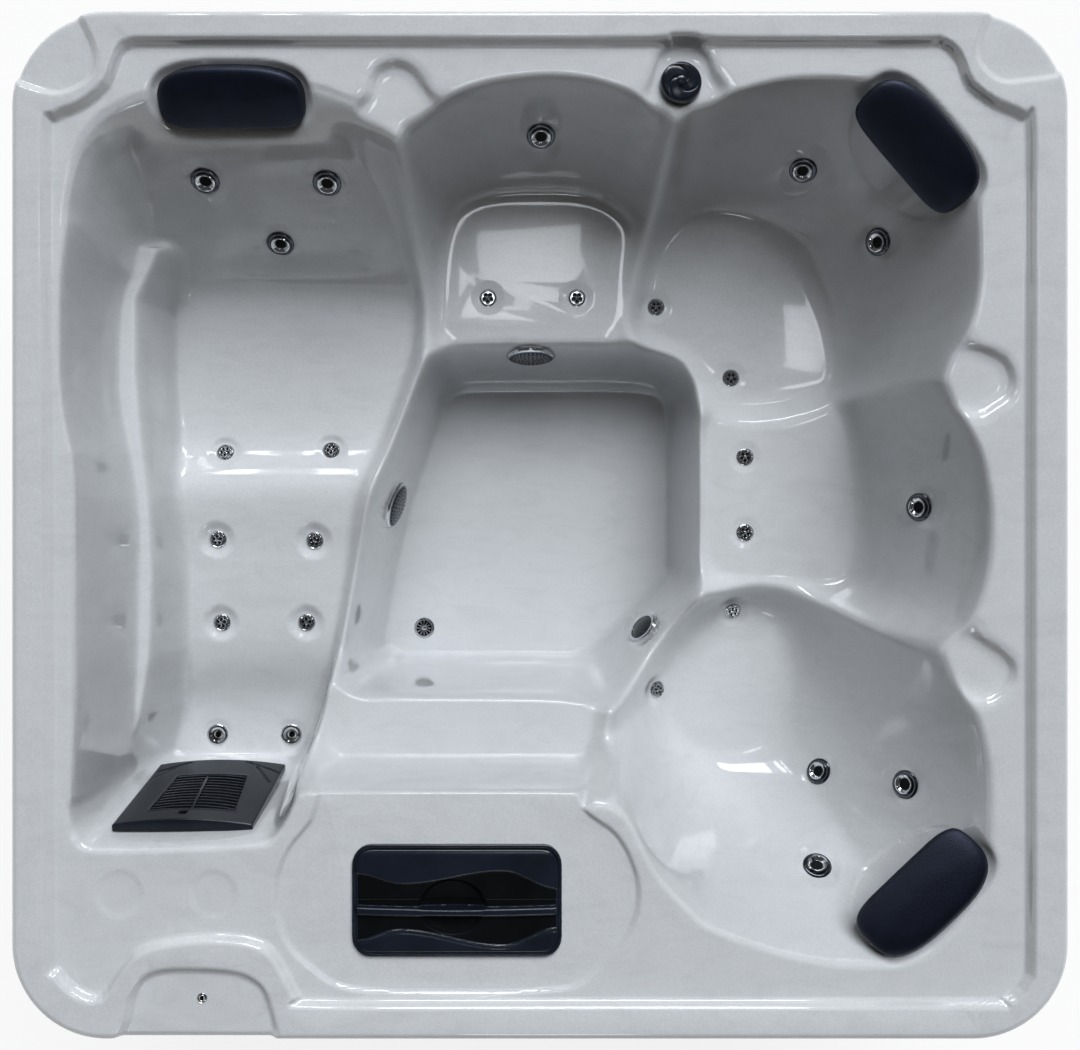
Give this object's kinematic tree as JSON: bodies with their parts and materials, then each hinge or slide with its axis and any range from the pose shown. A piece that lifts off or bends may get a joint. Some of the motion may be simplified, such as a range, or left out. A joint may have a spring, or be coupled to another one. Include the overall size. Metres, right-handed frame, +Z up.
{
  "type": "acrylic hot tub",
  "caption": "Moulded acrylic hot tub with a lounger, bucket seats, footwell, turning jets, lift-out filter and pull-off headrests in a panelled cabinet.",
  "frame": {"origin": "on the floor under the middle of the tub's outline", "axes": "+Z up, +Y towards the side with the lounger's headrest and the diverter knob, +X towards the side with two pockets in the rim"},
  "size_m": [2.0999, 2.0439, 0.8804],
  "materials": {
    "pearl_acrylic": "polished pale grey-white acrylic with faint pearl marbling",
    "dark_trim": "satin moulded plastic, near-black navy",
    "dark_foam_skin": "soft closed-cell foam with a satin skin",
    "chrome": "bright chrome",
    "filter_fleece": "white pleated fleece",
    "pvc": "off-white pipe plastic",
    "cabinet_board": "dark grey satin board",
    "frame_timber": "treated timber",
    "motor_paint": "black paint",
    "steel": "brushed"
  },
  "bodies": {
    "tub": {"acrylic_shell": "pearl_acrylic", "base_tray": "cabinet_board", "cabinet_frame": "frame_timber", "control_box": "frame_timber", "diverter_body": "pvc", "floor_drain": "chrome", "foot_grille": "dark_trim", "footwell_light": "chrome", "heater_tube": "steel", "manifold_back_seat": "pvc", "manifold_bucket_seat": "pvc", "manifold_corner_seat": "pvc", "manifold_lounger": "pvc", "manifold_side_seat": "pvc", "panel_air_valve": "chrome", "panel_back": "cabinet_board", "panel_front": "cabinet_board", "panel_left": "cabinet_board", "panel_right": "cabinet_board", "pump_motor": "motor_paint", "pump_wet_end": "pvc", "skimmer_housing": "dark_trim", "suction_cover_back": "chrome", "suction_cover_left": "chrome", "suction_line": "pvc", "supply_header": "pvc"},
    "jet_lounger_1": {"jet_lounger_1": "chrome"},
    "jet_lounger_2": {"jet_lounger_2": "chrome"},
    "jet_lounger_3": {"jet_lounger_3": "chrome"},
    "jet_lounger_4": {"jet_lounger_4": "chrome"},
    "jet_lounger_5": {"jet_lounger_5": "chrome"},
    "jet_lounger_6": {"jet_lounger_6": "chrome"},
    "jet_lounger_7": {"jet_lounger_7": "chrome"},
    "jet_lounger_8": {"jet_lounger_8": "chrome"},
    "jet_lounger_9": {"jet_lounger_9": "chrome"},
    "jet_lounger_10": {"jet_lounger_10": "chrome"},
    "jet_lounger_11": {"jet_lounger_11": "chrome"},
    "jet_back_seat_1": {"jet_back_seat_1": "chrome"},
    "jet_back_seat_2": {"jet_back_seat_2": "chrome"},
    "jet_back_seat_3": {"jet_back_seat_3": "chrome"},
    "jet_corner_seat_1": {"jet_corner_seat_1": "chrome"},
    "jet_corner_seat_2": {"jet_corner_seat_2": "chrome"},
    "jet_corner_seat_3": {"jet_corner_seat_3": "chrome"},
    "jet_corner_seat_4": {"jet_corner_seat_4": "chrome"},
    "jet_side_seat_1": {"jet_side_seat_1": "chrome"},
    "jet_side_seat_2": {"jet_side_seat_2": "chrome"},
    "jet_side_seat_3": {"jet_side_seat_3": "chrome"},
    "jet_bucket_seat_1": {"jet_bucket_seat_1": "chrome"},
    "jet_bucket_seat_2": {"jet_bucket_seat_2": "chrome"},
    "jet_bucket_seat_3": {"jet_bucket_seat_3": "chrome"},
    "jet_bucket_seat_4": {"jet_bucket_seat_4": "chrome"},
    "jet_bucket_seat_5": {"jet_bucket_seat_5": "chrome"},
    "diverter_knob": {"diverter_knob": "dark_trim"},
    "filter_cover": {"filter_cover": "dark_trim"},
    "filter_cartridge_left": {"filter_cartridge_left": "filter_fleece"},
    "filter_cartridge_right": {"filter_cartridge_right": "filter_fleece"},
    "headrest_lounger": {"headrest_lounger": "dark_foam_skin"},
    "headrest_corner": {"headrest_corner": "dark_foam_skin"},
    "headrest_bucket": {"headrest_bucket": "dark_foam_skin"}
  },
  "joints": [
    {"name": "jet_lounger_1_turn", "type": "hinge", "parent": "tub", "child": "jet_lounger_1", "pos_m": [-0.71505, 0.73482, 0.69114], "axis": [0, -0.7546, 0.6562], "range_deg": [0, 90]},
    {"name": "jet_lounger_2_turn", "type": "hinge", "parent": "tub", "child": "jet_lounger_2", "pos_m": [-0.4557, 0.73175, 0.68542], "axis": [0, -0.7546, 0.6562], "range_deg": [0, 90]},
    {"name": "jet_lounger_3_turn", "type": "hinge", "parent": "tub", "child": "jet_lounger_3", "pos_m": [-0.588, 0.63773, 0.53372], "axis": [0, -0.7546, 0.6562], "range_deg": [0, 90]},
    {"name": "jet_lounger_4_turn", "type": "hinge", "parent": "tub", "child": "jet_lounger_4", "pos_m": [-0.7434, 0.1717, 0.41416], "axis": [0, 0.4198, 0.9076], "range_deg": [0, 90]},
    {"name": "jet_lounger_5_turn", "type": "hinge", "parent": "tub", "child": "jet_lounger_5", "pos_m": [-0.4935, 0.17681, 0.41193], "axis": [0, 0.3789, 0.9254], "range_deg": [0, 90]},
    {"name": "jet_lounger_6_turn", "type": "hinge", "parent": "tub", "child": "jet_lounger_6", "pos_m": [-0.75495, -0.03373, 0.43682], "axis": [0, -0.1442, 0.9895], "range_deg": [0, 90]},
    {"name": "jet_lounger_7_turn", "type": "hinge", "parent": "tub", "child": "jet_lounger_7", "pos_m": [-0.52815, -0.03679, 0.43638], "axis": [0, -0.1438, 0.9896], "range_deg": [0, 90]},
    {"name": "jet_lounger_8_turn", "type": "hinge", "parent": "tub", "child": "jet_lounger_8", "pos_m": [-0.7497, -0.22995, 0.42032], "axis": [0, -0.069, 0.9976], "range_deg": [0, 90]},
    {"name": "jet_lounger_9_turn", "type": "hinge", "parent": "tub", "child": "jet_lounger_9", "pos_m": [-0.5502, -0.22995, 0.42032], "axis": [0, -0.069, 0.9976], "range_deg": [0, 90]},
    {"name": "jet_lounger_10_turn", "type": "hinge", "parent": "tub", "child": "jet_lounger_10", "pos_m": [-0.77595, -0.50487, 0.35903], "axis": [0, -0.06, 0.9982], "range_deg": [0, 90]},
    {"name": "jet_lounger_11_turn", "type": "hinge", "parent": "tub", "child": "jet_lounger_11", "pos_m": [-0.5985, -0.50487, 0.35903], "axis": [0, -0.06, 0.9982], "range_deg": [0, 90]},
    {"name": "jet_back_seat_1_turn", "type": "hinge", "parent": "tub", "child": "jet_back_seat_1", "pos_m": [-0.12285, 0.53553, 0.41702], "axis": [0, 0, 1], "range_deg": [0, 90]},
    {"name": "jet_back_seat_2_turn", "type": "hinge", "parent": "tub", "child": "jet_back_seat_2", "pos_m": [0.08715, 0.53553, 0.41702], "axis": [0, 0, 1], "range_deg": [0, 90]},
    {"name": "jet_back_seat_3_turn", "type": "hinge", "parent": "tub", "child": "jet_back_seat_3", "pos_m": [0.0021, 0.84724, 0.63802], "axis": [0.0197, -0.7543, 0.6562], "range_deg": [0, 90]},
    {"name": "jet_corner_seat_1_turn", "type": "hinge", "parent": "tub", "child": "jet_corner_seat_1", "pos_m": [0.45675, 0.35157, 0.37698], "axis": [0, 0, 1], "range_deg": [0, 90]},
    {"name": "jet_corner_seat_2_turn", "type": "hinge", "parent": "tub", "child": "jet_corner_seat_2", "pos_m": [0.2772, 0.52122, 0.37698], "axis": [0, 0, 1], "range_deg": [0, 90]},
    {"name": "jet_corner_seat_3_turn", "type": "hinge", "parent": "tub", "child": "jet_corner_seat_3", "pos_m": [0.58905, 0.79409, 0.56395], "axis": [-0.2033, -0.7267, 0.6562], "range_deg": [0, 90]},
    {"name": "jet_corner_seat_4_turn", "type": "hinge", "parent": "tub", "child": "jet_corner_seat_4", "pos_m": [0.75495, 0.63262, 0.56943], "axis": [-0.7132, -0.2466, 0.6562], "range_deg": [0, 90]},
    {"name": "jet_side_seat_1_turn", "type": "hinge", "parent": "tub", "child": "jet_side_seat_1", "pos_m": [0.48405, -0.0184, 0.415], "axis": [0, 0, 1], "range_deg": [0, 90]},
    {"name": "jet_side_seat_2_turn", "type": "hinge", "parent": "tub", "child": "jet_side_seat_2", "pos_m": [0.48405, 0.16045, 0.415], "axis": [0, 0, 1], "range_deg": [0, 90]},
    {"name": "jet_side_seat_3_turn", "type": "hinge", "parent": "tub", "child": "jet_side_seat_3", "pos_m": [0.8274, 0.03884, 0.63212], "axis": [-0.7536, -0.0381, 0.6562], "range_deg": [0, 90]},
    {"name": "jet_bucket_seat_1_turn", "type": "hinge", "parent": "tub", "child": "jet_bucket_seat_1", "pos_m": [0.46935, -0.20849, 0.33003], "axis": [0.0991, -0.4641, 0.8802], "range_deg": [0, 90]},
    {"name": "jet_bucket_seat_2_turn", "type": "hinge", "parent": "tub", "child": "jet_bucket_seat_2", "pos_m": [0.28245, -0.39654, 0.35524], "axis": [0.5019, -0.1131, 0.8575], "range_deg": [0, 90]},
    {"name": "jet_bucket_seat_3_turn", "type": "hinge", "parent": "tub", "child": "jet_bucket_seat_3", "pos_m": [0.60795, -0.74708, 0.62036], "axis": [-0.0469, 0.7531, 0.6562], "range_deg": [0, 90]},
    {"name": "jet_bucket_seat_4_turn", "type": "hinge", "parent": "tub", "child": "jet_bucket_seat_4", "pos_m": [0.6552, -0.57947, 0.42784], "axis": [-0.6725, 0.3424, 0.6562], "range_deg": [0, 90]},
    {"name": "jet_bucket_seat_5_turn", "type": "hinge", "parent": "tub", "child": "jet_bucket_seat_5", "pos_m": [0.79275, -0.56312, 0.64826], "axis": [-0.7453, 0.1179, 0.6562], "range_deg": [0, 90]},
    {"name": "diverter_turn", "type": "hinge", "parent": "tub", "child": "diverter_knob", "pos_m": [0.28245, 0.88607, 0.84], "axis": [0, 0, 1], "range_deg": [0, 180]},
    {"name": "filter_cover_lift", "type": "slide", "parent": "tub", "child": "filter_cover", "axis": [0, 0, 1], "range_m": [0, 0.36]},
    {"name": "filter_cartridge_left_lift", "type": "slide", "parent": "tub", "child": "filter_cartridge_left", "axis": [0, 0, 1], "range_m": [0, 0.217]},
    {"name": "filter_cartridge_right_lift", "type": "slide", "parent": "tub", "child": "filter_cartridge_right", "axis": [0, 0, 1], "range_m": [0, 0.217]},
    {"name": "headrest_lounger_pull", "type": "slide", "parent": "tub", "child": "headrest_lounger", "axis": [0, -0.4695, 0.8829], "range_m": [0, 0.03]},
    {"name": "headrest_corner_pull", "type": "slide", "parent": "tub", "child": "headrest_corner", "axis": [-0.357, -0.3049, 0.8829], "range_m": [0, 0.03]},
    {"name": "headrest_bucket_pull", "type": "slide", "parent": "tub", "child": "headrest_bucket", "axis": [-0.3232, 0.3405, 0.8829], "range_m": [0, 0.03]}
  ],
  "couplings": [
    {"joint": "filter_cartridge_left_lift", "follows": "filter_cover_lift", "ratio": 0.6},
    {"joint": "filter_cartridge_right_lift", "follows": "filter_cover_lift", "ratio": 0.6}
  ]
}
